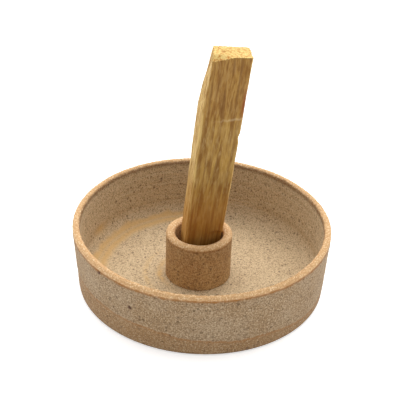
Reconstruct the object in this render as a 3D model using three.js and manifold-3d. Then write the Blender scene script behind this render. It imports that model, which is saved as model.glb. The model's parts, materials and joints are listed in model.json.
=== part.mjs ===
// Incense burner: a hand-thrown stoneware dish with a short collar luted to the middle of its
// floor. A split stick of palo santo wood stands in the collar and leans against its mouth.
// Millimetres, +Z up. The origin is the centre of the underside, so the dish stands on z = 0.
// +X is to the right and -Y is towards the viewer.

import * as THREE from 'three';
import { mergeVertices } from 'three/addons/utils/BufferGeometryUtils.js';
import Module from 'manifold-3d';

// The dish
const dishRimRadius = 54;
const dishFlare = 1.7;
const dishHeight = 29.8;
const dishWall = 3.1;
const dishFloor = 4;
const dishCove = 7;
const dishBaseEdge = 1.6;

// The collar, which is set down by eye and so is a little off the middle
const collarRadius = 14;
const collarTop = 25.2;
const collarFootBevel = 0.8;
const collarLipHeight = 1.4;
const collarOffsetX = -0.9;
const collarOffsetY = -1.6;

// The stick, which spreads a little from its foot to its top, and the play that the longest
// diagonal of its foot has in the collar's bore
const stickFootWidth = 15.3;
const stickSpread = 1.6;
const stickThickness = 10.4;
const stickLength = 101;
const stickTwist = THREE.MathUtils.degToRad(12);
const stickPlay = 1.6;
const touchGap = 0.3;

// The split edges of the stick, as the length that each takes off its corner
const frontLeftSplit = 0.8;
const frontRightSplit = 1.0;
const backRightSplit = 1.6;
const backLeftSplit = 1.2;

// Where the stick has broken: its left side near the top, the front edge of its sawn top, and
// the front right corner just above the collar's mouth
const sideBreakLength = 26;
const sideBreakDepth = 2.2;
const topBreakHeight = 2;
const topBreakDepth = 2.6;
const topBreakWidth = 11;
const footBreakAboveMouth = 2.2;
const footBreakWidth = 6;
const footBreakDepth = 1.5;

// How far a cutter stands out of what it cuts
const cutMargin = 1;

const dishSides = 72;
const collarSides = 48;
const arcSteps = 6;

const collarBore = (Math.hypot(stickFootWidth, stickThickness) + stickPlay) / 2;
const socketDepth = collarTop - dishFloor;
const stickTopWidth = stickFootWidth + stickSpread;
const stickMouthWidth = stickFootWidth + (stickSpread * socketDepth) / stickLength;
const rightAngle = Math.PI / 2;

const wasm = await Module();
wasm.setup();

const glazedStoneware = new THREE.MeshStandardMaterial({ color: 0x9c8568, roughness: 0.8, metalness: 0 });
const warmStoneware = new THREE.MeshStandardMaterial({ color: 0x8a6a48, roughness: 0.8, metalness: 0 });
const paloSanto = new THREE.MeshStandardMaterial({ color: 0xb08a4c, roughness: 0.75, metalness: 0 });

// Points of an elliptical arc, from one angle to another
function arc(centreX, centreY, radiusX, radiusY, from, to) {
  const points = [];
  for (let step = 0; step <= arcSteps; step++) {
    const angle = from + ((to - from) * step) / arcSteps;
    points.push(new THREE.Vector2(
      centreX + radiusX * Math.cos(angle),
      centreY + radiusY * Math.sin(angle),
    ));
  }
  return points;
}

// A turned body: the profile holds a radius and a height at each point, and runs anticlockwise
function turned(profile, sides) {
  const geometry = new THREE.LatheGeometry(profile, sides);
  geometry.rotateX(rightAngle);
  return geometry;
}

// One open dish: flat underside, a wall that widens a little to a rounded lip, and a cove
// where the wall meets the floor
function dishGeometry() {
  const lip = dishWall / 2;
  const lipHeight = dishHeight - lip;
  const baseRadius = dishRimRadius - dishFlare;
  const coveTop = dishFloor + dishCove;
  const outsideAtCove = baseRadius + (dishFlare * (coveTop - dishBaseEdge)) / (lipHeight - dishBaseEdge);
  const coveCentre = outsideAtCove - dishWall - dishCove;
  const profile = [
    new THREE.Vector2(0, 0),
    ...arc(baseRadius - dishBaseEdge, dishBaseEdge, dishBaseEdge, dishBaseEdge, -rightAngle, 0),
    ...arc(dishRimRadius - lip, lipHeight, lip, lip, 0, 2 * rightAngle),
    ...arc(coveCentre, coveTop, dishCove, dishCove, 0, -rightAngle),
    new THREE.Vector2(0, dishFloor),
  ];
  return turned(profile, dishSides);
}

// A ring that sits on the dish floor: bevelled foot, straight wall and a rounded mouth
function collarGeometry() {
  const lipRadius = (collarRadius - collarBore) / 2;
  const lipCentre = collarRadius - lipRadius;
  const profile = [
    new THREE.Vector2(collarBore, dishFloor),
    new THREE.Vector2(collarRadius - collarFootBevel, dishFloor),
    new THREE.Vector2(collarRadius, dishFloor + collarFootBevel),
    ...arc(lipCentre, collarTop - collarLipHeight, lipRadius, collarLipHeight, 0, 2 * rightAngle),
    new THREE.Vector2(collarBore, dishFloor),
  ];
  return turned(profile, collarSides);
}

// The stick's cross-section: a rectangle whose four corners have split away by different amounts
function stickOutline(width) {
  const side = width / 2;
  const face = stickThickness / 2;
  return [
    new THREE.Vector2(-side + frontLeftSplit, -face),
    new THREE.Vector2(side - frontRightSplit, -face),
    new THREE.Vector2(side, -face + frontRightSplit),
    new THREE.Vector2(side, face - backRightSplit),
    new THREE.Vector2(side - backRightSplit, face),
    new THREE.Vector2(-side + backLeftSplit, face),
    new THREE.Vector2(-side, face - backLeftSplit),
    new THREE.Vector2(-side, -face + frontLeftSplit),
  ];
}

// How far the twisted outline can move along X before a corner comes within the touch gap of
// the bore; direction is 1 for right and -1 for left
function travelInBore(width, direction) {
  const reach = collarBore - touchGap;
  const travels = stickOutline(width).map((corner) => {
    const turnedCorner = corner.clone().rotateAround(new THREE.Vector2(), stickTwist);
    return Math.sqrt(reach ** 2 - turnedCorner.y ** 2) - direction * turnedCorner.x;
  });
  return Math.min(...travels);
}

// A closed three.js mesh as a solid that can be cut
function solid(geometry) {
  geometry.deleteAttribute('normal');
  geometry.deleteAttribute('uv');
  const merged = mergeVertices(geometry);
  return new wasm.Manifold(new wasm.Mesh({
    numProp: 3,
    vertProperties: merged.attributes.position.array,
    triVerts: new Uint32Array(merged.index.array),
  }));
}

// A cut solid as a three.js geometry again
function geometryOf(body) {
  const mesh = body.getMesh();
  const geometry = new THREE.BufferGeometry();
  geometry.setAttribute('position', new THREE.BufferAttribute(mesh.vertProperties, 3));
  geometry.setIndex(new THREE.BufferAttribute(mesh.triVerts, 1));
  geometry.computeVertexNormals();
  return geometry;
}

function extruded(outline, depth) {
  return new THREE.ExtrudeGeometry(new THREE.Shape(outline), { depth, bevelEnabled: false });
}

// A wedge for the split left side: its outline is in X and Z, and it runs through the stick
function sideBreak() {
  const side = -stickTopWidth / 2;
  const breakFoot = stickLength - sideBreakLength;
  const runOut = (sideBreakDepth / sideBreakLength) * cutMargin;
  const wedge = extruded([
    new THREE.Vector2(side - cutMargin, breakFoot - cutMargin),
    new THREE.Vector2(side - runOut, breakFoot - cutMargin),
    new THREE.Vector2(side + sideBreakDepth + runOut, stickLength + cutMargin),
    new THREE.Vector2(side - cutMargin, stickLength + cutMargin),
  ], stickThickness + 2 * cutMargin);
  wedge.rotateX(rightAngle);
  wedge.translate(0, stickThickness / 2 + cutMargin, 0);
  return solid(wedge);
}

// A wedge for the broken front edge of the sawn top: deepest at the left corner, and turned so
// that it runs out of the front face before the right corner
function topBreak() {
  const corner = -stickTopWidth / 2;
  const front = -stickThickness / 2;
  const steepness = topBreakHeight / topBreakDepth;
  const wedge = extruded([
    new THREE.Vector2(-topBreakDepth - cutMargin, stickLength - topBreakHeight - steepness * cutMargin),
    new THREE.Vector2(cutMargin, stickLength + steepness * cutMargin),
    new THREE.Vector2(-topBreakDepth - cutMargin, stickLength + steepness * cutMargin),
  ], stickTopWidth + cutMargin);
  wedge.rotateX(rightAngle);
  wedge.rotateZ(rightAngle);
  wedge.translate(-cutMargin, 0, 0);
  wedge.rotateZ(-Math.atan(topBreakDepth / topBreakWidth));
  wedge.translate(corner, front + topBreakDepth, 0);
  return solid(wedge);
}

// A wedge for the chipped front right corner, from just above the mouth down to the foot
function footBreak() {
  const topOfChip = socketDepth + footBreakAboveMouth;
  const right = stickMouthWidth / 2;
  const front = -stickThickness / 2;
  const slope = footBreakDepth / footBreakWidth;
  const wedge = extruded([
    new THREE.Vector2(right - footBreakWidth, front - cutMargin),
    new THREE.Vector2(right + cutMargin, front - cutMargin),
    new THREE.Vector2(right + cutMargin, front + footBreakDepth + slope * cutMargin),
    new THREE.Vector2(right - footBreakWidth, front),
  ], topOfChip + cutMargin);
  wedge.translate(0, 0, -cutMargin);
  return solid(wedge);
}

// The foot outline drawn out to the full length, then spread towards the top
function stickBlank() {
  const blank = extruded(stickOutline(stickFootWidth), stickLength);
  const corners = blank.attributes.position;
  for (let index = 0; index < corners.count; index++) {
    const spread = 1 + ((stickSpread / stickFootWidth) * corners.getZ(index)) / stickLength;
    corners.setX(index, corners.getX(index) * spread);
  }
  return blank;
}

function stickGeometry() {
  const blank = solid(stickBlank());
  return geometryOf(blank.subtract(sideBreak()).subtract(topBreak()).subtract(footBreak()));
}

function dish() {
  const mesh = new THREE.Mesh(dishGeometry(), glazedStoneware);
  mesh.name = 'dish';
  return mesh;
}

function socketCollar() {
  const mesh = new THREE.Mesh(collarGeometry(), warmStoneware);
  mesh.name = 'socket_collar';
  mesh.position.set(collarOffsetX, collarOffsetY, 0);
  return mesh;
}

// The stick stands on the dish floor, touches the left of the bore at its foot and the right
// of the bore at the mouth, and is drawn out along its own length
function palosantoStick() {
  const mesh = new THREE.Mesh(stickGeometry(), paloSanto);
  mesh.name = 'palo_santo_stick';
  mesh.rotation.z = stickTwist;

  const travelRight = travelInBore(stickMouthWidth, 1);
  const travelLeft = travelInBore(stickFootWidth, -1);
  const lean = Math.atan((travelRight + travelLeft) / socketDepth);
  const lowestCorner = (Math.sin(lean) * Math.hypot(stickFootWidth, stickThickness)) / 2;
  const footHeight = dishFloor + touchGap + lowestCorner;
  const group = new THREE.Group();
  group.rotation.y = lean;
  group.position.set(
    collarOffsetX + travelRight - Math.tan(lean) * (collarTop - footHeight),
    collarOffsetY,
    footHeight,
  );
  group.add(mesh);
  return group;
}

const burner = new THREE.Group();
burner.add(dish());
burner.add(socketCollar());
burner.add(palosantoStick());

export default burner;
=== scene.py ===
"""The looks of an incense burner: a hand-thrown stoneware dish, the collar luted to its floor and
a split stick of palo santo wood that leans in the collar. Metres, +Z up, -Y towards the viewer."""
import json
import math

import bpy
from mathutils import Matrix, Vector, noise


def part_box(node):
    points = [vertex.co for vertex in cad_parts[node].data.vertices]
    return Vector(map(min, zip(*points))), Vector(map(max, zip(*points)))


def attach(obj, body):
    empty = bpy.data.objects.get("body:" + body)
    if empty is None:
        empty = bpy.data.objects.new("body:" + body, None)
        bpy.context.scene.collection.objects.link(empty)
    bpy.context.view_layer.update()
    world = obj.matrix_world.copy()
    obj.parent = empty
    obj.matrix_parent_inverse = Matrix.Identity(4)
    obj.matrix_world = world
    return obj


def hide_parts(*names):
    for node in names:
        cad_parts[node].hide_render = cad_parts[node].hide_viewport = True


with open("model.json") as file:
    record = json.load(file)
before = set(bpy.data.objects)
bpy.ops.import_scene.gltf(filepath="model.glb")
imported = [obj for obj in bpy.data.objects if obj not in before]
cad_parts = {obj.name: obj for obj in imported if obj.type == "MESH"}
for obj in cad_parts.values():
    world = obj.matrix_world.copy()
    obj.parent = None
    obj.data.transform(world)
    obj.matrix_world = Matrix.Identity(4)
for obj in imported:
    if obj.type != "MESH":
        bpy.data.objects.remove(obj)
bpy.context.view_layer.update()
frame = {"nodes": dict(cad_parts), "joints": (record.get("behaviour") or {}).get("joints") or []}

MM = 0.001
QUARTER = math.pi / 2
ROUND = 2 * math.pi

# The dish, read off the frame, with the wall, floor and curves that it was thrown with
DISH_LOW, DISH_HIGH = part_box("dish")
RIM_RADIUS = (DISH_HIGH.x - DISH_LOW.x) / 2
DISH_HEIGHT = DISH_HIGH.z
FLARE = 1.7 * MM
WALL = 3.1 * MM
COVE = 7 * MM
BASE_EDGE = 1.6 * MM
COLLAR_LOW, COLLAR_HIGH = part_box("socket_collar")
FLOOR = COLLAR_LOW.z
RIM_CENTRE = RIM_RADIUS - WALL / 2
FLAT_FLOOR = RIM_RADIUS - FLARE - WALL - COVE

# How unevenly it was thrown: the rim dips and is thinner in front and rises behind, and the wall
# leans to the right towards its base
FRONT_DIP = 0.75 * MM
FRONT_THINNED = 0.45 * MM
BACK_RISE = 0.4 * MM
BASE_LEAN = 0.5 * MM

# The throwing rings on the wall, the spiral on the floor, the sand in the clay, the roughness of the
# wiped rim, and how far the glaze stands over the bare foot
RING_DEPTH = 0.16 * MM
RING_SPACING = 2.6 * MM
SPIRAL_DEPTH = 0.05 * MM
SPIRAL_SPACING = 4.2 * MM
SAND_DEPTH = 0.05 * MM
RIM_ROUGHNESS = 0.1 * MM
GLAZE_THICKNESS = 0.05 * MM

# Where the glaze stops above the base, how far and at which turn it rides up, as the dish was
# dipped aslant, and how far down the outside and the inside of the wall the rim was wiped bare
GLAZE_LINE = 8.7 * MM
GLAZE_TILT = 4.1 * MM
GLAZE_HIGHEST = math.radians(163)
WIPED_OUTSIDE = 2.1 * MM
WIPED_INSIDE = 1.3 * MM

# Two larger iron spots came through the glaze at the front left: turn in degrees, height, radius
IRON_SPOTS = (
    (223.5, DISH_HEIGHT - 2.7 * MM, 0.9 * MM),
    (240.0, 17.7 * MM, 1.0 * MM),
)

# Turns round the dish in degrees, anticlockwise from its right: where the rim dips and rises, and the
# middles of the sponged cove that is painted lit, the ochre stain, the scuff and the slip wiped round
# the collar's foot
DIP_TURN = 285
RISE_TURN = 90
SPONGED_AND_LIT_TURN = 140
STAIN_TURN = 156
SCUFF_TURN = 68
SLIP_TURN = 185

# The collar
COLLAR_RADIUS = (COLLAR_HIGH.x - COLLAR_LOW.x) / 2
COLLAR_CENTRE = (COLLAR_LOW + COLLAR_HIGH) / 2
COLLAR_TOP = COLLAR_HIGH.z
SOCKET_DEPTH = COLLAR_TOP - FLOOR
BORE = 10.05 * MM
COLLAR_LIP = 1.4 * MM
FOOT_BEVEL = 0.4 * MM

# The stick leans along the joint that draws it out, is twisted about its own length, and is this
# much wider at its top than at its foot
STICK_AXIS = Vector(frame["joints"][0]["axis"]).normalized()
STICK_LEAN = math.atan2(STICK_AXIS.x, STICK_AXIS.z)
STICK_TWIST = math.radians(12)
STICK_SPREAD = 1.6 * MM

# Where it has broken: the long break at its upper left, which is deeper behind, the front edge of
# its top, the chip at the front right of its foot, and the nick in its right side
SIDE_BREAK_LENGTH = 25 * MM
SIDE_BREAK_DEPTH = 1.5 * MM
SIDE_BREAK_BEHIND = 2.0 * MM
TOP_BREAK_HEIGHT = 2.1 * MM
TOP_BREAK_DEPTH = 2.6 * MM
CHIP_ABOVE_MOUTH = 2.4 * MM
CHIP_DEPTH = 1.8 * MM
CHIP_LEFT = 1.2 * MM
NICK_BELOW_TOP = 34 * MM
NICK_DEPTH = 0.5 * MM

# What colours it: the red streak and the scratch, how far down its oily top and how far up its
# toasted foot reach
RED_BELOW_TOP = 19 * MM
SCRATCH_BELOW_TOP = 28 * MM
OILED_TOP = 20 * MM
TOASTED_ABOVE_MOUTH = 30 * MM

# How many points go round each thrown piece, and how many rows up the stick
DISH_POINTS = 540
COLLAR_POINTS = 260
STICK_ROWS = 300

# The light: its fill from the front and from behind, what the sides add to it, the overhead light,
# the table's own glow, and how far the table reaches, past the edge of any view
FILL_FRONT = 0.12
FILL_BEHIND = 1.25
FILL_SIDES = 0.52
OVERHEAD = 2.2
OVERHEAD_SPREAD = math.radians(60)
OVERHEAD_TILT = (math.radians(-24), math.radians(2), 0)
TABLE_GLOW = 0.56
TABLE_REACH = 80

# The viewer: how far from the rim in rim radii, how steeply it looks down, where it aims beside and
# above the middle of the rim, its turn on its own axis, and its lens and sensor in millimetres
VIEW_DISTANCE = 7.5
LOOK_DOWN = math.radians(32.27)
AIM_ASIDE = math.radians(0.335)
AIM_ABOVE = math.radians(0.675)
VIEW_ROLL = math.radians(2.2)
LENS = 83.8
SENSOR = 36


# ---------------------------------------------------------------- shapes

def wander(x, y, z, size, octaves=2):
    """Smooth noise about 0, for something that changes over the given size."""
    return noise.fractal(Vector((x, y, z)) / size, 0.6, 2.0, octaves, noise_basis="PERLIN_ORIGINAL")


def arc(centre_x, centre_y, radius_x, radius_y, start, end):
    """Points of an elliptical arc in radius and height."""
    steps = 24
    turns = [start + (end - start) * k / steps for k in range(steps + 1)]
    return [(centre_x + radius_x * math.cos(a), centre_y + radius_y * math.sin(a)) for a in turns]


def evenly(points, step):
    """The same outline with points no further apart than one step."""
    dense = [points[0]]
    for (r0, z0), (r1, z1) in zip(points, points[1:]):
        parts = max(1, math.ceil(math.hypot(r1 - r0, z1 - z0) / step))
        for k in range(1, parts + 1):
            dense.append((r0 + (r1 - r0) * k / parts, z0 + (z1 - z0) * k / parts))
    return dense


def smooth_step(low, high, value):
    """0 below low, 1 above high and a soft change between."""
    t = min(1.0, max(0.0, (value - low) / (high - low)))
    return t * t * (3 - 2 * t)


def hump(centre, reach, value):
    """1 at the centre, falling softly to 0 at this reach on both sides."""
    return 1 - smooth_step(0, reach, abs(value - centre))


def degrees_from(middle, turn):
    """How many degrees a turn is from the middle one, either way round."""
    return abs((math.degrees(turn) - middle + 180) % 360 - 180)


def ringed_mesh(name, rings, marks, closed=False):
    """A smooth mesh through rings of points, with a value at each point for every mark. Its ends close
    on one point each, or the last ring joins the first."""
    count = len(rings[0])
    points = [p for ring in rings for p in ring]
    faces = []
    pairs = list(zip(range(len(rings)), range(1, len(rings))))
    if closed:
        pairs.append((len(rings) - 1, 0))
    for a, b in pairs:
        for k in range(count):
            n = (k + 1) % count
            faces.append((a * count + k, a * count + n, b * count + n, b * count + k))
    if not closed:
        for ring, flipped in ((0, True), (len(rings) - 1, False)):
            points.append(sum((Vector(p) for p in rings[ring]), Vector()) / count)
            for k in range(count):
                edge = [ring * count + k, ring * count + (k + 1) % count]
                if flipped:
                    edge.reverse()
                faces.append((*edge, len(points) - 1))
    mesh = bpy.data.meshes.new(name)
    mesh.from_pydata([tuple(p) for p in points], [], faces)
    mesh.polygons.foreach_set("use_smooth", [True] * len(mesh.polygons))
    for mark, values in marks.items():
        layer = mesh.attributes.new(mark, "FLOAT", "POINT")
        layer.data.foreach_set("value", values + [0.0] * (len(points) - len(values)))
    mesh.update()
    piece = bpy.data.objects.new(name, mesh)
    bpy.context.scene.collection.objects.link(piece)
    return piece


# ---------------------------------------------------------------- the dish

DISH_MARKS = (
    "inner_glaze", "floor_glaze", "ochre_and_lit_cove", "scuff", "foot_clay", "painted_contact_shadow", "bare_clay",
    "iron_edge", "iron_spot",
)


def dish_outline():
    """Radius, height and whether it is outside, from the middle of the underside, up the outside and
    down to the floor's middle."""
    lip = WALL / 2
    lip_height = DISH_HEIGHT - lip
    base = RIM_RADIUS - FLARE
    cove_top = FLOOR + COVE
    outside_at_cove = base + FLARE * (cove_top - BASE_EDGE) / (lip_height - BASE_EDGE)
    cove_centre = outside_at_cove - WALL - COVE
    under = evenly([(0.5 * MM, 0), (base - BASE_EDGE, 0)], 1.5 * MM)
    wall = (
        arc(base - BASE_EDGE, BASE_EDGE, BASE_EDGE, BASE_EDGE, -QUARTER, 0)
        + arc(RIM_RADIUS - lip, lip_height, lip, lip, 0, 2 * QUARTER)
        + arc(cove_centre, cove_top, COVE, COVE, 0, -QUARTER)
    )
    inside = evenly([wall[-1], (0.5 * MM, FLOOR)], 0.5 * MM)
    outline = under[:-1] + evenly(wall, 0.4 * MM) + inside[1:]
    top = max(range(len(outline)), key=lambda k: outline[k][1])
    return [(radius, height, k <= top) for k, (radius, height) in enumerate(outline)]


def glaze_line(turn):
    """Height where the glaze stops round the outside, which wanders as a dipped edge does."""
    x, y = math.cos(turn), math.sin(turn)
    slow = wander(x, y, 0.3, 0.5) * 0.9 * MM
    quick = wander(x, y, 4.7, 0.06) * 0.35 * MM
    return GLAZE_LINE + GLAZE_TILT * math.cos(turn - GLAZE_HIGHEST) + slow + quick


def left_side(turn):
    """1 round the back left of the floor, where the sponge was drawn along the cove and the cove is
    painted lit, 0 elsewhere.
    """
    return 1 - smooth_step(38, 62, degrees_from(SPONGED_AND_LIT_TURN, turn))


def stain(turn, height):
    """A patch of ochre slip low on the wall at the left, above the sponged cove."""
    return 0.9 * hump(STAIN_TURN, 9, math.degrees(turn)) * hump(10 * MM, 3.5 * MM, height)


def scuff(turn, height):
    """Pale lines low on the back wall, where a grain of sand was dragged as the wall was trued."""
    lines = sum(hump(level * MM, 0.45 * MM, height) for level in (9.0, 10.4, 11.9))
    return lines * hump(SCUFF_TURN, 11, math.degrees(turn))


def floor_wash(x, y, z):
    """Faint ochre arcs on the floor left of the collar, where slip was wiped round its foot."""
    across, along = x - COLLAR_CENTRE.x, y - COLLAR_CENTRE.y
    away = math.hypot(across, along)
    turn = math.degrees(math.atan2(along, across)) % 360
    arcs = hump(COLLAR_RADIUS + 2.2 * MM, 2.4 * MM, away)
    arcs += 0.6 * hump(COLLAR_RADIUS + 8.5 * MM, 1.8 * MM, away)
    return 0.8 * arcs * hump(SLIP_TURN, 60, turn) * (1 + wander(x, y, z, 3 * MM))


def iron_spot(turn, height, ragged):
    """1 in the two larger iron spots, with ragged edges, and 0 elsewhere."""
    shades = []
    for spot_turn, spot_height, spot_radius in IRON_SPOTS:
        along = (turn - math.radians(spot_turn)) * RIM_RADIUS
        away = math.hypot(along, height - spot_height) + 0.5 * ragged
        shades.append(1 - smooth_step(0.5 * spot_radius, 1.3 * spot_radius, away))
    return max(shades)


def thrown_point(radius, height, outside, turn, line):
    """A point of the dish as the hand left it: a little out of round, ringed on its walls and floor,
    rough on its wiped rim, and with glaze that stands a hair proud of the bare foot."""
    x, y = math.cos(turn), math.sin(turn)
    at = (radius * x, radius * y, height)
    side = 1 if outside else -1
    up = height / DISH_HEIGHT
    near_rim = smooth_step(DISH_HEIGHT - 3 * MM, DISH_HEIGHT - 0.6 * MM, height)
    front = 1 - smooth_step(20, 75, degrees_from(DIP_TURN, turn))
    back = 1 - smooth_step(20, 75, degrees_from(RISE_TURN, turn))
    wobble = 0.2 * MM * math.cos(2 * turn + 0.4) + 0.22 * MM * math.cos(3 * turn + 0.3)
    # Drawn in by 0.25 mm, so that the wobble stays inside the CAD
    push = (wobble - 0.25 * MM) * up * smooth_step(20 * MM, 50 * MM, radius)
    lift = leant = 0.0
    if not outside and radius < FLAT_FLOOR + 1 * MM:
        spiral = math.sin(ROUND * (radius / SPIRAL_SPACING + turn / ROUND))
        lift += SPIRAL_DEPTH * spiral + 0.14 * MM * wander(*at, 9 * MM)
        lift += 0.045 * MM * wander(*at, 1.3 * MM)
    elif height > 1 * MM:
        rough = RIM_ROUGHNESS * wander(*at, 1.1 * MM, 3)
        ring = RING_DEPTH * wander(0.35 * x, 0.35 * y, height / RING_SPACING, 1.0)
        push += side * (ring * (1 - near_rim) + SAND_DEPTH * wander(*at, 1.2 * MM))
        push += side * near_rim * rough
        lift += near_rim * (rough + 0.16 * MM * wander(x, y, 2.0, 0.35) - 0.05 * MM)
        lift += (BACK_RISE * back - FRONT_DIP * front) * smooth_step(0.4, 1.0, up)
    if outside:
        leant = BASE_LEAN * (1 - up)
        if height > 1 * MM:
            bare = 1 - smooth_step(line - 0.4 * MM, line + 0.2 * MM, height)
            push -= GLAZE_THICKNESS * bare
    else:
        push += FRONT_THINNED * front * near_rim
        ridge = hump(FLAT_FLOOR + 1.6 * MM, 1.3 * MM, radius) * left_side(turn)
        lift += 0.16 * MM * ridge
    return (radius + push) * x + leant, (radius + push) * y, max(0.0, height + lift)


def outside_marks(radius, height, turn, line):
    """Marks on the outside: the bare foot with a painted contact shadow along its lowest edge, the
    wiped rim, the brown edges of the glaze and the iron spots."""
    x, y = math.cos(turn), math.sin(turn)
    ragged = 0.45 * MM * wander(radius * x, radius * y, height, 1.6 * MM, 3)
    below_rim = DISH_HEIGHT - height + 0.6 * ragged
    wiped = WIPED_OUTSIDE + 0.25 * MM * wander(x, y, 3.0, 0.2)
    foot_brown = 0.8 * hump(line + 0.1 * MM, 0.75 * MM, height + ragged)
    rim_brown = 0.95 * hump(wiped, 1.1 * MM, below_rim) * (1 + 0.7 * wander(x, y, 8.0, 0.06))
    return {
        # Painted contact shadow: the lowest 1.3 mm of the foot is darkened where it meets the table
        "painted_contact_shadow": 1 - smooth_step(0.2 * MM, 1.3 * MM, height),
        "foot_clay": 1 - smooth_step(line - 0.25 * MM, line + 0.25 * MM, height + ragged),
        "bare_clay": 1 - smooth_step(wiped - 0.5 * MM, wiped, below_rim),
        "iron_edge": max(foot_brown, rim_brown),
        "iron_spot": iron_spot(turn, height, ragged),
    }


def inside_marks(radius, height, turn):
    """Marks on the inside: the wiped rim, the paler glaze on the wall and the floor, the sponged cove
    with its ochre slip, painted lit on the back left with a painted highlight along its ridge, and
    the scuff."""
    x, y = math.cos(turn), math.sin(turn)
    at = (radius * x, radius * y, height)
    ragged = 0.45 * MM * wander(*at, 1.6 * MM, 3)
    uneven = 0.8 * MM * wander(x, y, 1.1, 0.16, 3) + 0.5 * MM * wander(*at, 4 * MM)
    reach = RIM_CENTRE - radius + max(0.0, DISH_HEIGHT - WALL / 2 - height)
    glazed = smooth_step(WIPED_INSIDE - 0.3 * MM, WIPED_INSIDE + 0.2 * MM, reach + 0.5 * ragged)
    off_floor = smooth_step(FLAT_FLOOR + 1.5 * MM, FLAT_FLOOR + 5 * MM, radius + 0.4 * uneven)
    inner_edge = FLAT_FLOOR - 3.4 * MM * left_side(turn)
    outer_edge = FLAT_FLOOR + 3.8 * MM
    lit_band = smooth_step(inner_edge, inner_edge + 3.5 * MM, radius + 0.5 * uneven)
    lit_band *= 1 - smooth_step(outer_edge, outer_edge + 2 * MM, radius + uneven)
    # Thinned along the ridge into a pale line, which is a painted highlight
    lit_band *= 1 - 0.45 * hump(FLAT_FLOOR + 1.8 * MM, 1.5 * MM, radius + 0.3 * uneven)
    return {
        "bare_clay": 1 - glazed,
        "iron_edge": 0.35 * hump(WIPED_INSIDE + 0.2 * MM, 0.6 * MM, reach + ragged),
        "inner_glaze": smooth_step(WIPED_INSIDE, WIPED_INSIDE + 2 * MM, reach),
        # The ochre band is kept to the back left, where light falls on the cove: painted light, over
        # the real ochre wash and stain
        "ochre_and_lit_cove": max(lit_band * left_side(turn), floor_wash(*at), stain(turn, height + uneven)),
        "scuff": scuff(turn, height + 0.3 * uneven),
        "floor_glaze": 1 - off_floor,
    }


def dish():
    """The whole dish, as rings that run from its underside over the rim and down to its floor."""
    turns = [ROUND * k / DISH_POINTS for k in range(DISH_POINTS)]
    around = [(turn, glaze_line(turn)) for turn in turns]
    marks = {name: [] for name in DISH_MARKS}
    rings = []
    for radius, height, outside in dish_outline():
        rings.append([thrown_point(radius, height, outside, turn, line) for turn, line in around])
        for turn, line in around:
            if outside:
                here = outside_marks(radius, height, turn, line)
            else:
                here = inside_marks(radius, height, turn)
            for name in DISH_MARKS:
                marks[name].append(here.get(name, 0.0))
    return ringed_mesh("thrown_dish", rings, marks)


# ---------------------------------------------------------------- the collar

COLLAR_MARKS = ("bare_clay", "iron_edge")


def collar():
    """The collar: slightly out of round, softly ringed outside, with a rough bare lip and a foot
    whose lower edge was run round with a tool."""
    lip_radius = (COLLAR_RADIUS - BORE) / 2
    lip_centre = COLLAR_RADIUS - lip_radius
    outline = [
        (BORE, FLOOR),
        (COLLAR_RADIUS - FOOT_BEVEL, FLOOR),
        (COLLAR_RADIUS - 0.1 * MM, FLOOR + FOOT_BEVEL),
        *arc(lip_centre, COLLAR_TOP - COLLAR_LIP, lip_radius, COLLAR_LIP, 0, 2 * QUARTER),
        (BORE, FLOOR),
    ]
    rings = []
    marks = {name: [] for name in COLLAR_MARKS}
    for radius, height in evenly(outline, 0.3 * MM)[:-1]:
        ring = []
        outside = radius > lip_centre
        near_lip = smooth_step(COLLAR_TOP - 2.2 * MM, COLLAR_TOP - 0.8 * MM, height)
        clear_of_floor = smooth_step(FLOOR, FLOOR + 1.5 * MM, height)
        for k in range(COLLAR_POINTS):
            turn = ROUND * k / COLLAR_POINTS
            x, y = math.cos(turn), math.sin(turn)
            at = (radius * x, radius * y, height)
            rough = wander(*at, 0.9 * MM, 3)
            if outside:
                push = clear_of_floor * (0.1 * MM * math.cos(2 * turn + 1.0) - 0.12 * MM)
                push += clear_of_floor * 0.1 * MM * wander(x, y, height / (2.2 * MM), 1.0)
                push += 0.05 * MM * wander(*at, 1.2 * MM)
            else:
                push = 0.05 * MM * clear_of_floor
            push += near_lip * 0.07 * MM * rough * (1 if outside else 0.4)
            lift = near_lip * (0.09 * MM * rough + 0.12 * MM * wander(x, y, 5.0, 0.5) - 0.08 * MM)
            ring.append((
                COLLAR_CENTRE.x + (radius + push) * x,
                COLLAR_CENTRE.y + (radius + push) * y,
                height + lift,
            ))
            below_lip = COLLAR_TOP - height + 0.3 * MM * wander(*at, 1.4 * MM, 3)
            brown = 0.5 * hump(2.0 * MM, 0.8 * MM, below_lip) if outside else 0.0
            marks["bare_clay"].append(1 - smooth_step(1.3 * MM, 1.9 * MM, below_lip))
            marks["iron_edge"].append(brown)
        rings.append(ring)
    return ringed_mesh("luted_collar", rings, marks, closed=True)


# ---------------------------------------------------------------- the stick

STICK_MARKS = (
    "end_grain", "split_side", "toasted", "oiled_top", "red_streak", "scratch", "pit",
)


def stick_frame():
    """The stick's own frame, which holds its length upright, and its foot's width, its thickness
    and its length."""
    turned = Matrix.Rotation(STICK_LEAN, 4, "Y") @ Matrix.Rotation(STICK_TWIST, 4, "Z")
    wood = frame["nodes"]["palo_santo_stick"].data
    local = [turned.inverted() @ v.co for v in wood.vertices]
    bottom = min(p.z for p in local)
    top = max(p.z for p in local)
    at_foot = [p for p in local if p.z < bottom + 0.1 * MM]
    left, right = (pick(p.x for p in at_foot) for pick in (min, max))
    front, back = (pick(p.y for p in local) for pick in (min, max))
    foot = Vector(((left + right) / 2, (front + back) / 2, bottom))
    return turned @ Matrix.Translation(foot), right - left, back - front, top - bottom


STICK_PLACE, FOOT_WIDTH, THICKNESS, STICK_LENGTH = stick_frame()
FACE = THICKNESS / 2


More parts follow.
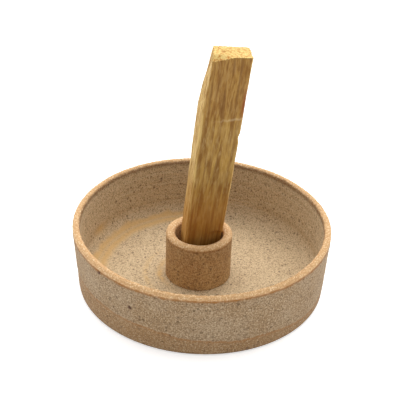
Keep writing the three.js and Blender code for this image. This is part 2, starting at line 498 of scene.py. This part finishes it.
def section():
    """The foot's outline: a rectangle with four split corners, from the front left, anticlockwise."""
    side = FOOT_WIDTH / 2
    front_left, front_right, back_right, back_left = 0.8 * MM, 0.6 * MM, 0.5 * MM, 1.0 * MM
    corners = [
        (-side + front_left, -FACE),
        (side - front_right, -FACE),
        (side, -FACE + front_right),
        (side, FACE - back_right),
        (side - back_right, FACE),
        (-side + back_left, FACE),
        (-side, FACE - back_left),
        (-side, -FACE + front_left),
        (-side + front_left, -FACE),
    ]
    return evenly(corners, 0.2 * MM)[:-1]


def half_width(z):
    """Half the stick's width at a height, which spreads a little more where it is out of the collar."""
    above = smooth_step(SOCKET_DEPTH, SOCKET_DEPTH + 6 * MM, z)
    return (FOOT_WIDTH + STICK_SPREAD * z / STICK_LENGTH) / 2 + 0.12 * MM * above


def torn_point(px, py, z, scale):
    """A point of the outline with fibres torn out of it, most on the split sides, and how far it is on
    a side. Above the collar the sides bow and the sawn front wavers."""
    x, y = px * scale, py * scale
    above = smooth_step(SOCKET_DEPTH, SOCKET_DEPTH + 6 * MM, z)
    on_side = smooth_step(0.8, 1.0, abs(px) / half_width(z)) * scale
    inward = Vector((-px, -py)).normalized()
    fibre = abs(wander(px, py, z * 0.035, 0.5 * MM, 3))
    strand = abs(wander(px, py, z * 0.09, 1.6 * MM, 2))
    depth = on_side * (0.16 * MM * fibre + 0.22 * MM * strand)
    depth += (1 - on_side) * (0.05 * MM * fibre + 0.06 * MM * strand)
    bow = 0.16 * MM * above * wander(0.3, py / THICKNESS, z, 26 * MM) * on_side
    x += inward.x * depth - math.copysign(bow, px)
    y += inward.y * depth
    if py < -FACE + 0.1 * MM:
        y += 0.06 * MM * above * (1 + wander(px * 0.3, 1.0, z, 14 * MM))
    return x, y, on_side


def broken_point(x, y, px, py, z, on_side):
    """The same point after the side break, the chip and the nick, and 1 at the nick's middle."""
    side = half_width(z)
    break_foot = STICK_LENGTH - SIDE_BREAK_LENGTH
    if z > break_foot:
        so_far = (z - break_foot) / (STICK_LENGTH - break_foot)
        slant = -side + SIDE_BREAK_DEPTH * so_far ** 0.85
        slant += 0.35 * MM * wander(0.4, py, z * 0.1, 1.1 * MM, 2)
        x = max(x, slant + SIDE_BREAK_BEHIND * so_far * (y + FACE) / THICKNESS)

    rounded = 0.9 * MM * smooth_step(0, 1, abs(px - 4.5 * MM) / (5 * MM))
    ridge = SOCKET_DEPTH + CHIP_ABOVE_MOUTH - rounded
    if z < ridge and px > CHIP_LEFT:
        chip = smooth_step(CHIP_LEFT, 6.5 * MM, px) * smooth_step(0, 1.4 * MM, ridge - z)
        y = max(y, -FACE + CHIP_DEPTH * chip)

    if y > 0 and px > 0:
        x += 0.5 * MM * smooth_step(STICK_LENGTH - 40 * MM, STICK_LENGTH, z) * on_side

    nick = hump(STICK_LENGTH - NICK_BELOW_TOP, 2.4 * MM, z) * smooth_step(side - 1.2 * MM, side, x)
    x -= NICK_DEPTH * nick * (1 if py < 0 else 0.3)
    return x, y, nick


def sawn_height(x, y, px, z):
    """The height of a point after the ends were sawn and the top's front edge broke, and 1 in the
    middle of the pit in the end."""
    side = half_width(z)
    pit = 1 - smooth_step(0.4 * MM, 1.1 * MM, math.hypot(x + 0.25 * side, y))
    pitted = 0.2 * MM * abs(wander(x, y, 0, 0.7 * MM, 3)) + 0.4 * MM * pit
    height = z
    if z > STICK_LENGTH - 3.5 * MM:
        ragged = 1 + 0.5 * wander(px, 0, 0, 0.7 * MM)
        edge = TOP_BREAK_HEIGHT * (1 - smooth_step(-side, side * 0.45, px)) * ragged
        from_front = smooth_step(0, TOP_BREAK_DEPTH, y + FACE)
        height = min(z, STICK_LENGTH - edge * (1 - from_front) - pitted)
    if z == 0.0:
        height += pitted
    return height, pit


def stick_point(px, py, z, scale):
    """One point of the stick in its own frame and its marks, from its place on the outline, its
    height and how far an end's ring has closed in."""
    x, y, on_side = torn_point(px, py, z, scale)
    x, y, nick = broken_point(x, y, px, py, z, on_side)
    height, pit = sawn_height(x, y, px, z)

    side = half_width(z)
    at_end = z >= STICK_LENGTH - 1e-6 or z <= 1e-6 or height < z - 0.02 * MM
    end_grain = (1.0 if scale < 1 else 0.6) if at_end else 0.0
    front_edge = 1 - smooth_step(-FACE, -FACE + 3.5 * MM, py)
    across = (px + side) / (2 * side)
    slope = STICK_LENGTH - SCRATCH_BELOW_TOP + 2.5 * MM * across
    slope += 0.5 * MM * wander(px, 0, 0, 1.5 * MM)
    scratch = hump(slope, 0.8 * MM, z) * smooth_step(0.2, 0.8, across)
    streak = smooth_step(0.86, 0.97, across) * hump(STICK_LENGTH - RED_BELOW_TOP, 11 * MM, z)
    return Vector((x, y, height)), {
        "end_grain": max(end_grain, 0.6 * nick * front_edge),
        "split_side": on_side if py >= -FACE + 0.1 * MM else 0.0,
        "toasted": 1 - smooth_step(SOCKET_DEPTH + 1 * MM, SOCKET_DEPTH + TOASTED_ABOVE_MOUTH, z),
        "oiled_top": smooth_step(STICK_LENGTH - 1.5 * OILED_TOP, STICK_LENGTH - OILED_TOP, z),
        "red_streak": streak * front_edge,
        "scratch": scratch if py < 0 else 0.0,
        "pit": pit if at_end and z > SOCKET_DEPTH else 0.0,
    }


def stick():
    """The stick: sawn across its ends and flat in front, split along its sides, and worn."""
    closing = [0.02] + [k / 24 for k in range(1, 24)] + [0.985]
    levels = [(scale, 0.0) for scale in closing]
    levels += [(1.0, STICK_LENGTH * k / STICK_ROWS) for k in range(STICK_ROWS + 1)]
    levels += [(scale, STICK_LENGTH) for scale in reversed(closing)]
    outline = section()
    marks = {name: [] for name in STICK_MARKS}
    rings = []
    for scale, z in levels:
        ring = []
        for foot_x, py in outline:
            px = foot_x * 2 * half_width(z) / FOOT_WIDTH
            point, here = stick_point(px, py, z, scale)
            ring.append(STICK_PLACE @ point)
            for name in STICK_MARKS:
                marks[name].append(here[name])
        rings.append(ring)
    piece = ringed_mesh("split_stick", rings, marks)
    upright = STICK_PLACE.inverted()
    along = [c for v in piece.data.vertices for c in (upright @ v.co)]
    piece.data.attributes.new("along_grain", "FLOAT_VECTOR", "POINT")
    piece.data.attributes["along_grain"].data.foreach_set("vector", along)
    return piece


# ---------------------------------------------------------------- finishes

# The sockets of a colour Mix node: its factor, its two colours and its result
FACTOR, UNDER, OVER, MIXED = 0, 6, 7, 2


def linear(colour):
    """An sRGB hex colour as the linear colour that a shader takes."""
    parts = [int(colour[i:i + 2], 16) / 255 for i in (1, 3, 5)]
    return tuple(c / 12.92 if c <= 0.04045 else ((c + 0.055) / 1.055) ** 2.4 for c in parts) + (1.0,)


def add(tree, kind, inputs=None, output=0, **settings):
    """Adds one node with its settings, and its inputs as values or links. Gives back one output."""
    new = tree.nodes.new(kind)
    for name, value in settings.items():
        setattr(new, name, value)
    for name, value in (inputs or {}).items():
        if isinstance(value, bpy.types.NodeSocket):
            tree.links.new(value, new.inputs[name])
        else:
            new.inputs[name].default_value = value
    return new.outputs[output] if new.outputs else None


def empty_finish(name):
    """A new material with an empty node tree."""
    material = bpy.data.materials.new(name)
    material.use_nodes = True
    material.node_tree.nodes.clear()
    return material, material.node_tree


def laid_over(tree, under, layers):
    """A colour with others laid over it in turn, each by its mask times its strength."""
    for mask, strength, colour in layers:
        amount = add(tree, "ShaderNodeMath", {0: mask, 1: strength}, operation="MULTIPLY")
        over = linear(colour) if isinstance(colour, str) else colour
        inputs = {FACTOR: amount, UNDER: under, OVER: over}
        under = add(tree, "ShaderNodeMix", inputs, MIXED, data_type="RGBA")
    return under


def grains(tree, place, spacing, share):
    """Spots in clay or wood: one to a cell at this spacing, and only in this share of the cells."""
    inputs = {"Vector": place, "Scale": 1 / spacing}
    distance = add(tree, "ShaderNodeTexVoronoi", inputs, "Distance")
    inputs = {"Color": distance.node.outputs["Color"]}
    chance = add(tree, "ShaderNodeSeparateColor", inputs, "Red")
    inputs = {"Value": chance, "From Min": 1 - share, "To Max": 0.5}
    size = add(tree, "ShaderNodeMapRange", inputs)
    inside = add(tree, "ShaderNodeMath", {0: size, 1: distance}, operation="SUBTRACT")
    return add(tree, "ShaderNodeMapRange", {"Value": inside, "From Max": 0.18})


def speckled_stoneware(name, thick_glaze, thin_glaze, marks):
    """Iron-bearing stoneware under a thin matte glaze, dipped and then fired in reduction. Iron in the
    body bleeds through as dense fine brown specks, and the glaze goes orange-brown where it
    thins at its edges. The wiped rim is bare toasted clay, and the foot is bare and browner."""
    material, tree = empty_finish(name)
    place = add(tree, "ShaderNodeTexCoord", output="Object")
    mark = {}
    for one in marks:
        settings = {"attribute_name": one, "attribute_type": "GEOMETRY"}
        mark[one] = add(tree, "ShaderNodeAttribute", output="Fac", **settings)

    # Glaze pools and thins in clouds of about 14 mm. Its sand is about 0.3 mm, drawn at twice that
    noises = {}
    for one, size, detail, roughness in (
        ("cloud", 14 * MM, 4.0, 0.6), ("sand", 0.6 * MM, 2.0, 0.7), ("tooth", 0.5 * MM, 2.0, 0.6),
    ):
        inputs = {"Vector": place, "Scale": 1 / size, "Detail": detail, "Roughness": roughness}
        noises[one] = add(tree, "ShaderNodeTexNoise", inputs)
    masks = {}
    for one, source, low, high in (
        ("thick", "cloud", 0.38, 0.62), ("dark_sand", "sand", 0.5, 0.34),
        ("pale_sand", "sand", 0.52, 0.68),
    ):
        inputs = {"Value": noises[source], "From Min": low, "From Max": high}
        masks[one] = add(tree, "ShaderNodeMapRange", inputs)

    # Iron specks are from 0.2 mm up, drawn from 0.5 mm up so that they show
    masks["fine"] = grains(tree, place, 0.75 * MM, 0.9)
    masks["middling"] = grains(tree, place, 1.5 * MM, 0.4)

    # The glaze: beige where it is thick, warm where it is thin, paler inside, ochre in the cove with
    # painted light on the cove's back left; then the bare foot, its painted contact shadow and the
    # scuff
    inputs = {FACTOR: masks["thick"], UNDER: linear(thin_glaze), OVER: linear(thick_glaze)}
    body = add(tree, "ShaderNodeMix", inputs, MIXED, data_type="RGBA")
    body = laid_over(tree, body, [(mark[one], strength, colour) for one, strength, colour in (
        ("inner_glaze", 0.9, "#CDB490"),
        ("floor_glaze", 1.0, "#C8AF8B"),
        # ochre in the cove, painted lit on the back left with a painted ridge highlight, and the ochre
        # wash and stain
        ("ochre_and_lit_cove", 0.75, "#D0A768"),
        ("foot_clay", 0.7, "#906B40"),
        # painted contact shadow at the foot's lowest edge
        ("painted_contact_shadow", 0.8, "#4A3A2A"),
        ("scuff", 0.55, "#E2D2B8"),
    ) if one in mark])

    # Sand and specks show less where the clay was sponged smooth, in the cove and on the foot, and so
    # less where the cove is painted lit
    shows = 1.0
    for one, still_shows in (("ochre_and_lit_cove", 0.25), ("foot_clay", 0.85)):
        if one in mark:
            inputs = {"Value": mark[one], "To Min": 1.0, "To Max": still_shows}
            here = add(tree, "ShaderNodeMapRange", inputs)
            shows = add(tree, "ShaderNodeMath", {0: shows, 1: here}, operation="MULTIPLY")
    for one, strength, colour in (
        ("dark_sand", 0.66, "#66503A"),
        ("pale_sand", 0.42, "#DECCAA"),
        ("fine", 0.58, "#5A432C"),
        ("middling", 0.55, "#46301E"),
    ):
        shown = add(tree, "ShaderNodeMath", {0: masks[one], 1: shows}, operation="MULTIPLY")
        body = laid_over(tree, body, [(shown, strength, colour)])

    # Bare clay: toasted tan and sandy, with an orange-brown line where the glaze starts
    inputs = {FACTOR: masks["pale_sand"], UNDER: linear("#CCA170"), OVER: linear("#EAD2AA")}
    clay = add(tree, "ShaderNodeMix", inputs, MIXED, data_type="RGBA")
    clay = laid_over(tree, clay, [(masks["dark_sand"], 0.3, "#8A5A30")])
    body = laid_over(tree, body, [(mark[one], strength, colour) for one, strength, colour in (
        ("bare_clay", 1.0, clay),
        ("iron_edge", 0.85, "#905E2A"),
        ("iron_spot", 0.92, "#40180A"),
    ) if one in mark])

    inputs = {"Value": noises["tooth"], "From Min": 0.3, "From Max": 0.7, "To Min": 0.7, "To Max": 0.9}
    rough = add(tree, "ShaderNodeMapRange", inputs)
    inputs = {0: masks["middling"], 1: -0.4, 2: noises["tooth"]}
    sunk = add(tree, "ShaderNodeMath", inputs, operation="MULTIPLY_ADD")
    inputs = {0: noises["sand"], 1: 1.2, 2: sunk}
    relief = add(tree, "ShaderNodeMath", inputs, operation="MULTIPLY_ADD")
    bump = add(tree, "ShaderNodeBump", {"Height": relief, "Strength": 0.6, "Distance": 0.12 * MM})
    surface = add(tree, "ShaderNodeBsdfPrincipled", {
        "Base Color": body, "Roughness": rough, "IOR": 1.5, "Specular IOR Level": 0.35,
        "Normal": bump,
    })
    add(tree, "ShaderNodeOutputMaterial", {"Surface": surface})
    return material


def split_palo_santo():
    """Palo santo heartwood, split and left unfinished. Long straight grain in yellow-brown, darker
    oily streaks, pale torn fibre on the split sides and light yellow end grain."""
    material, tree = empty_finish("split_palo_santo")
    settings = {"attribute_name": "along_grain", "attribute_type": "GEOMETRY"}
    grain = add(tree, "ShaderNodeAttribute", output="Vector", **settings)
    mark = {}
    for one in STICK_MARKS:
        settings = {"attribute_name": one, "attribute_type": "GEOMETRY"}
        mark[one] = add(tree, "ShaderNodeAttribute", output="Fac", **settings)

    # Patterns drawn out along the grain: how far apart they are across it and along it
    pulled = {}
    for one, across, along in (
        ("streak", 1.6 * MM, 17 * MM), ("fibre", 0.45 * MM, 9 * MM), ("blotch", 4.5 * MM, 9 * MM),
        ("oil", 1.3 * MM, 22 * MM), ("figure", 1.0 * MM, 4.5 * MM), ("pore", 0.8 * MM, 4.5 * MM),
        ("end_figure", 0.9 * MM, 0.9 * MM),
    ):
        inputs = {"Vector": grain, "Scale": (1 / across, 1 / across, 1 / along)}
        pulled[one] = add(tree, "ShaderNodeMapping", inputs)
    noises = {}
    for one, detail, roughness, distortion in (
        ("streak", 4.0, 0.5, 0.5), ("fibre", 3.0, 0.65, 0.0), ("blotch", 3.0, 0.5, 0.0),
        ("oil", 2.0, 0.5, 0.0), ("figure", 3.0, 0.6, 0.0), ("end_figure", 3.0, 0.7, 0.0),
    ):
        noises[one] = add(tree, "ShaderNodeTexNoise", {
            "Vector": pulled[one], "Scale": 1.0, "Detail": detail, "Roughness": roughness,
            "Distortion": distortion,
        })
    masks = {"pores": grains(tree, pulled["pore"], 1.0, 0.35)}
    for one, source, low, high in (
        ("streak", "streak", 0.42, 0.6), ("blotch", "blotch", 0.45, 0.68),
        ("fibre", "fibre", 0.4, 0.72), ("torn", "fibre", 0.42, 0.6),
        ("oil", "oil", 0.5, 0.62), ("sawn", "end_figure", 0.46, 0.62),
        ("figure", "figure", 0.5, 0.66), ("fleck", "figure", 0.5, 0.34),
    ):
        inputs = {"Value": noises[source], "From Min": low, "From Max": high}
        masks[one] = add(tree, "ShaderNodeMapRange", inputs)
    for one, source, where in (
        ("low_oil", "oil", "toasted"), ("high_oil", "oil", "oiled_top"),
        ("high_figure", "figure", "oiled_top"),
    ):
        inputs = {0: masks[source], 1: mark[where]}
        masks[one] = add(tree, "ShaderNodeMath", inputs, operation="MULTIPLY")

    # The sawn front, the torn sides and the end grain, each in two tones
    tones = {}
    for one, mask, light, dark in (
        ("front", "streak", "#B08A42", "#80581C"),
        ("torn", "torn", "#DABA74", "#9A6E2E"),
        ("sawn", "sawn", "#EACC80", "#C4873A"),
    ):
        inputs = {FACTOR: masks[mask], UNDER: linear(light), OVER: linear(dark)}
        tones[one] = add(tree, "ShaderNodeMix", inputs, MIXED, data_type="RGBA")
    wood = laid_over(tree, tones["front"], (
        (masks["blotch"], 0.5, "#BE9C5C"),
        (masks["fleck"], 0.35, "#C8AC74"),
        (mark["oiled_top"], 0.4, "#966624"),
        (masks["figure"], 0.3, "#865A20"),
        (masks["fibre"], 0.35, "#7A5222"),
        (masks["low_oil"], 0.85, "#683A12"),
        (masks["high_oil"], 0.55, "#6E4816"),
        (masks["high_figure"], 0.5, "#6E4412"),
        (masks["pores"], 0.3, "#6A4218"),
        (mark["split_side"], 0.85, tones["torn"]),
        (mark["toasted"], 0.5, "#BE7C2C"),
        (mark["red_streak"], 0.85, "#8A4516"),
        (mark["scratch"], 0.28, "#E0CDA0"),
        (mark["end_grain"], 1.0, tones["sawn"]),
        (mark["pit"], 0.7, "#B4662A"),
    ))

    inputs = {
        "Value": noises["fibre"], "From Min": 0.3, "From Max": 0.7, "To Min": 0.55, "To Max": 0.8,
    }
    rough = add(tree, "ShaderNodeMapRange", inputs)
    inputs = {0: noises["streak"], 1: 0.6, 2: noises["fibre"]}
    relief = add(tree, "ShaderNodeMath", inputs, operation="MULTIPLY_ADD")
    bump = add(tree, "ShaderNodeBump", {"Height": relief, "Strength": 0.5, "Distance": 0.15 * MM})
    surface = add(tree, "ShaderNodeBsdfPrincipled", {
        "Base Color": wood, "Roughness": rough, "IOR": 1.5, "Specular IOR Level": 0.3,
        "Normal": bump,
    })
    add(tree, "ShaderNodeOutputMaterial", {"Surface": surface})
    return material


def plain_table():
    """A plain white table top, matte, with a glow of its own that keeps it evenly white, so that only a
    soft shadow under the foot shows; the glow also lights the dish from below.
    """
    material, tree = empty_finish("white_table")
    place = add(tree, "ShaderNodeTexCoord", output="Object")
    paper = add(tree, "ShaderNodeTexNoise", {"Vector": place, "Scale": 1 / (3 * MM)})
    inputs = {FACTOR: paper, UNDER: linear("#E4E4E4"), OVER: linear("#E8E8E8")}
    colour = add(tree, "ShaderNodeMix", inputs, MIXED, data_type="RGBA")
    surface = add(tree, "ShaderNodeBsdfPrincipled", {
        "Base Color": colour, "Roughness": 0.95, "Specular IOR Level": 0.1,
        "Emission Color": (1.0, 1.0, 1.0, 1.0), "Emission Strength": TABLE_GLOW,
    })
    add(tree, "ShaderNodeOutputMaterial", {"Surface": surface})
    return material


# ---------------------------------------------------------------- the set

def table_top():
    """The table, a hair below the foot so that the two flat faces don't fight."""
    mesh = bpy.data.meshes.new("table")
    signs = [(-1, -1), (1, -1), (1, 1), (-1, 1)]
    corners = [(TABLE_REACH * x, TABLE_REACH * y, 0) for x, y in signs]
    mesh.from_pydata(corners, [], [(0, 1, 2, 3)])
    mesh.materials.append(plain_table())
    table = bpy.data.objects.new("table", mesh)
    table.location.z = -0.02 * MM
    bpy.context.scene.collection.objects.link(table)


def studio_light():
    """A broad soft light high and behind, and an even white fill that is stronger from behind."""
    world = bpy.data.worlds.new("white_fill")
    world.use_nodes = True
    tree = world.node_tree
    tree.nodes.clear()
    along = add(tree, "ShaderNodeTexCoord", output="Generated")
    behind = add(tree, "ShaderNodeSeparateXYZ", {"Vector": along}, "Y")
    aside = behind.node.outputs["X"]
    depth = add(tree, "ShaderNodeMapRange", {
        "Value": behind, "From Min": -1.0, "From Max": 1.0,
        "To Min": FILL_FRONT, "To Max": FILL_BEHIND,
    })
    squared = add(tree, "ShaderNodeMath", {0: aside, 1: aside}, operation="MULTIPLY")
    inputs = {0: squared, 1: FILL_SIDES, 2: depth}
    strength = add(tree, "ShaderNodeMath", inputs, operation="MULTIPLY_ADD")
    inputs = {"Color": (1.0, 1.0, 1.0, 1.0), "Strength": strength}
    fill = add(tree, "ShaderNodeBackground", inputs)
    add(tree, "ShaderNodeOutputWorld", {"Surface": fill})
    bpy.context.scene.world = world

    lamp = bpy.data.lights.new("overhead", "SUN")
    lamp.energy = OVERHEAD
    lamp.angle = OVERHEAD_SPREAD
    lamp.color = (1.0, 0.99, 0.97)
    light = bpy.data.objects.new("overhead", lamp)
    light.rotation_euler = OVERHEAD_TILT
    bpy.context.scene.collection.objects.link(light)


def camera():
    """The camera looks down on the rim from in front. It is turned a little on its own axis."""
    rim = Vector((0, 0, DISH_HEIGHT))
    ahead = Vector((0, math.cos(LOOK_DOWN), -math.sin(LOOK_DOWN)))
    up = Vector((1, 0, 0)).cross(ahead)
    aim = (ahead + Vector((math.tan(AIM_ASIDE), 0, 0)) + up * math.tan(AIM_ABOVE)).normalized()
    right = aim.cross(up).normalized()
    top = right.cross(aim)
    right, top = (
        math.cos(VIEW_ROLL) * right + math.sin(VIEW_ROLL) * top,
        -math.sin(VIEW_ROLL) * right + math.cos(VIEW_ROLL) * top,
    )
    data = bpy.data.cameras.new("viewer")
    data.lens = LENS
    data.sensor_width = SENSOR
    data.clip_start = 0.01
    eye = bpy.data.objects.new("viewer", data)
    turned = Matrix((right, top, -aim)).transposed().to_4x4()
    place = rim - ahead * (VIEW_DISTANCE * RIM_RADIUS)
    eye.matrix_world = Matrix.Translation(place) @ turned
    bpy.context.scene.collection.objects.link(eye)
    bpy.context.scene.camera = eye


# ---------------------------------------------------------------- the burner

def dress(piece, material, body, node):
    """Gives a piece its finish and its body, and puts it in the place of its CAD node."""
    piece.data.materials.append(material)
    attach(piece, body)
    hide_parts(node)


camera()
studio_light()
table_top()
bpy.context.scene.view_settings.view_transform = "Standard"

dish_finish = speckled_stoneware("speckled_stoneware", "#9C8466", "#937755", DISH_MARKS)
collar_finish = speckled_stoneware("collar_stoneware", "#C09B6C", "#B48C5E", COLLAR_MARKS)
dress(dish(), dish_finish, "burner", "dish")
dress(collar(), collar_finish, "burner", "socket_collar")
dress(stick(), split_palo_santo(), "stick", "palo_santo_stick")
